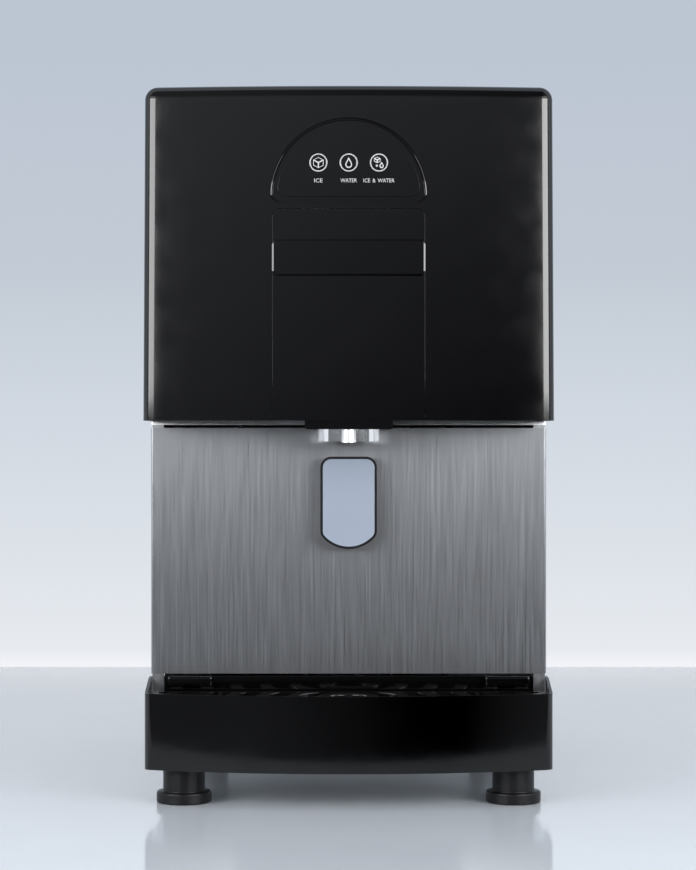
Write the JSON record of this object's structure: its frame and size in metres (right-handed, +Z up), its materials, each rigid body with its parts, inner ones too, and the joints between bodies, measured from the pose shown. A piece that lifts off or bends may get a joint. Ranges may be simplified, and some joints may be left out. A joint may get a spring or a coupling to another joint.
{
  "type": "countertop ice dispenser",
  "caption": "Countertop ice and water dispenser: black hood with round buttons, steel splash panel with a push lever, bowed drip tray with a ring grille, round feet.",
  "frame": {"origin": "on the floor under the middle of the machine's bounding box", "axes": "+Z up, the front with its hood and tray faces -Y, +X to the right as seen from the front"},
  "size_m": [0.415, 0.59, 0.727],
  "materials": {
    "hood_black": "gloss",
    "panel_black": "gloss",
    "tray_black": "gloss",
    "grille_black": "gloss",
    "button_black": "gloss",
    "light_white": "translucent",
    "splash_steel": "brushed",
    "cabinet_steel": "brushed",
    "polished_steel": "polished",
    "lever_black": "satin",
    "lever_pale": "satin",
    "foot_black": "satin",
    "pan_black": "matte",
    "zinc_steel": "zinc plated",
    "screw_steel": "plain",
    "board_green": "satin",
    "bin_white": "matte",
    "duct_grey": "matte",
    "foam_black": "foam",
    "motor_grey": "cast",
    "shell_black": "painted",
    "fin_aluminium": "plain",
    "copper": "plain",
    "hose_white": "plain",
    "fan_black": "satin"
  },
  "bodies": {
    "cabinet": {"base_pan": "zinc_steel", "left_side_panel": "cabinet_steel", "right_side_panel": "cabinet_steel", "rear_panel": "zinc_steel", "top_cover": "cabinet_steel", "splash_panel": "splash_steel", "splash_rail": "splash_steel", "front_hood": "hood_black", "control_fascia": "panel_black", "button_light_rings": "light_white", "control_board": "board_green", "centre_panel": "panel_black", "badge_plate": "panel_black", "chute_lip": "panel_black", "ice_chute": "polished_steel", "water_nozzle": "polished_steel", "gate_housing": "duct_grey", "gate_actuator": "fan_black", "bin_deck": "zinc_steel", "bin_shelf": "zinc_steel", "ice_bin": "bin_white", "bin_lid": "bin_white", "agitator_motor": "motor_grey", "evaporator": "foam_black", "auger_motor": "motor_grey", "drive_stand": "zinc_steel", "ice_transfer_tube": "duct_grey", "compressor": "shell_black", "condenser_coil": "fin_aluminium", "fan_shroud": "zinc_steel", "fan_motor": "motor_grey", "water_reservoir": "bin_white", "inlet_valve": "bin_white", "water_hoses": "hose_white", "refrigerant_lines": "copper", "lever_bracket": "zinc_steel", "lever_pin": "screw_steel", "lever_switch": "fan_black", "lever_spring": "screw_steel", "tray_housing": "tray_black", "drain_pipe": "hose_white", "power_inlet": "fan_black", "power_supply": "zinc_steel", "cabinet_screws": "screw_steel"},
    "push_lever": {"lever_body": "lever_black", "lever_pad": "lever_pale"},
    "ice_key": {"ice_button": "button_black"},
    "water_key": {"water_button": "button_black"},
    "combined_key": {"combined_button": "button_black"},
    "ice_gate": {"gate_flap": "duct_grey"},
    "bin_agitator": {"agitator": "polished_steel"},
    "ice_auger": {"auger": "polished_steel"},
    "condenser_fan": {"fan_blade": "fan_black"},
    "water_float": {"float_arm": "bin_white"},
    "tray_pan": {"drip_pan": "pan_black"},
    "tray_grille": {"drip_grille": "grille_black"},
    "front_left_foot": {"foot_front_left": "foot_black"},
    "front_right_foot": {"foot_front_right": "foot_black"},
    "rear_left_foot": {"foot_rear_left": "foot_black"},
    "rear_right_foot": {"foot_rear_right": "foot_black"}
  },
  "joints": [
    {"name": "lever_hinge", "type": "hinge", "parent": "cabinet", "child": "push_lever", "pos_m": [0, -0.1921, 0.342], "axis": [1, 0, 0], "range_deg": [0, 7], "stiffness_Nm_per_rad": 0.5, "springref_deg": -5.73},
    {"name": "gate_hinge", "type": "hinge", "parent": "cabinet", "child": "ice_gate", "pos_m": [0, -0.2267, 0.4513], "axis": [1, 0, 0], "range_deg": [0, 70], "stiffness_Nm_per_rad": 0.05, "springref_deg": -11.46},
    {"name": "agitator_spin", "type": "hinge", "parent": "cabinet", "child": "bin_agitator", "pos_m": [0, -0.2713, 0.5118], "axis": [0, 1, 0], "continuous": true},
    {"name": "auger_spin", "type": "hinge", "parent": "cabinet", "child": "ice_auger", "pos_m": [0, 0.09679, 0.29], "axis": [0, 0, 1], "continuous": true},
    {"name": "fan_spin", "type": "hinge", "parent": "cabinet", "child": "condenser_fan", "pos_m": [-0.1596, -0.0271, 0.1415], "axis": [1, 0, 0], "continuous": true},
    {"name": "float_hinge", "type": "hinge", "parent": "cabinet", "child": "water_float", "pos_m": [-0.1596, 0.19, 0.4998], "axis": [1, 0, 0], "range_deg": [-25, 0]},
    {"name": "pan_lift", "type": "slide", "parent": "cabinet", "child": "tray_pan", "axis": [0, 0, 1], "range_m": [0, 0.06]},
    {"name": "grille_lift", "type": "slide", "parent": "tray_pan", "child": "tray_grille", "axis": [0, 0, 1], "range_m": [0, 0.04]},
    {"name": "ice_button_press", "type": "slide", "parent": "cabinet", "child": "ice_key", "axis": [0, 1, 0], "range_m": [0, 0.001], "stiffness_N_per_m": 800, "springref_m": -0.0005},
    {"name": "water_button_press", "type": "slide", "parent": "cabinet", "child": "water_key", "axis": [0, 1, 0], "range_m": [0, 0.001], "stiffness_N_per_m": 800, "springref_m": -0.0005},
    {"name": "combined_button_press", "type": "slide", "parent": "cabinet", "child": "combined_key", "axis": [0, 1, 0], "range_m": [0, 0.001], "stiffness_N_per_m": 800, "springref_m": -0.0005},
    {"name": "front_left_foot_level", "type": "slide", "parent": "cabinet", "child": "front_left_foot", "axis": [0, 0, -1], "range_m": [0, 0.01]},
    {"name": "front_right_foot_level", "type": "slide", "parent": "cabinet", "child": "front_right_foot", "axis": [0, 0, -1], "range_m": [0, 0.01]},
    {"name": "rear_left_foot_level", "type": "slide", "parent": "cabinet", "child": "rear_left_foot", "axis": [0, 0, -1], "range_m": [0, 0.01]},
    {"name": "rear_right_foot_level", "type": "slide", "parent": "cabinet", "child": "rear_right_foot", "axis": [0, 0, -1], "range_m": [0, 0.01]}
  ]
}
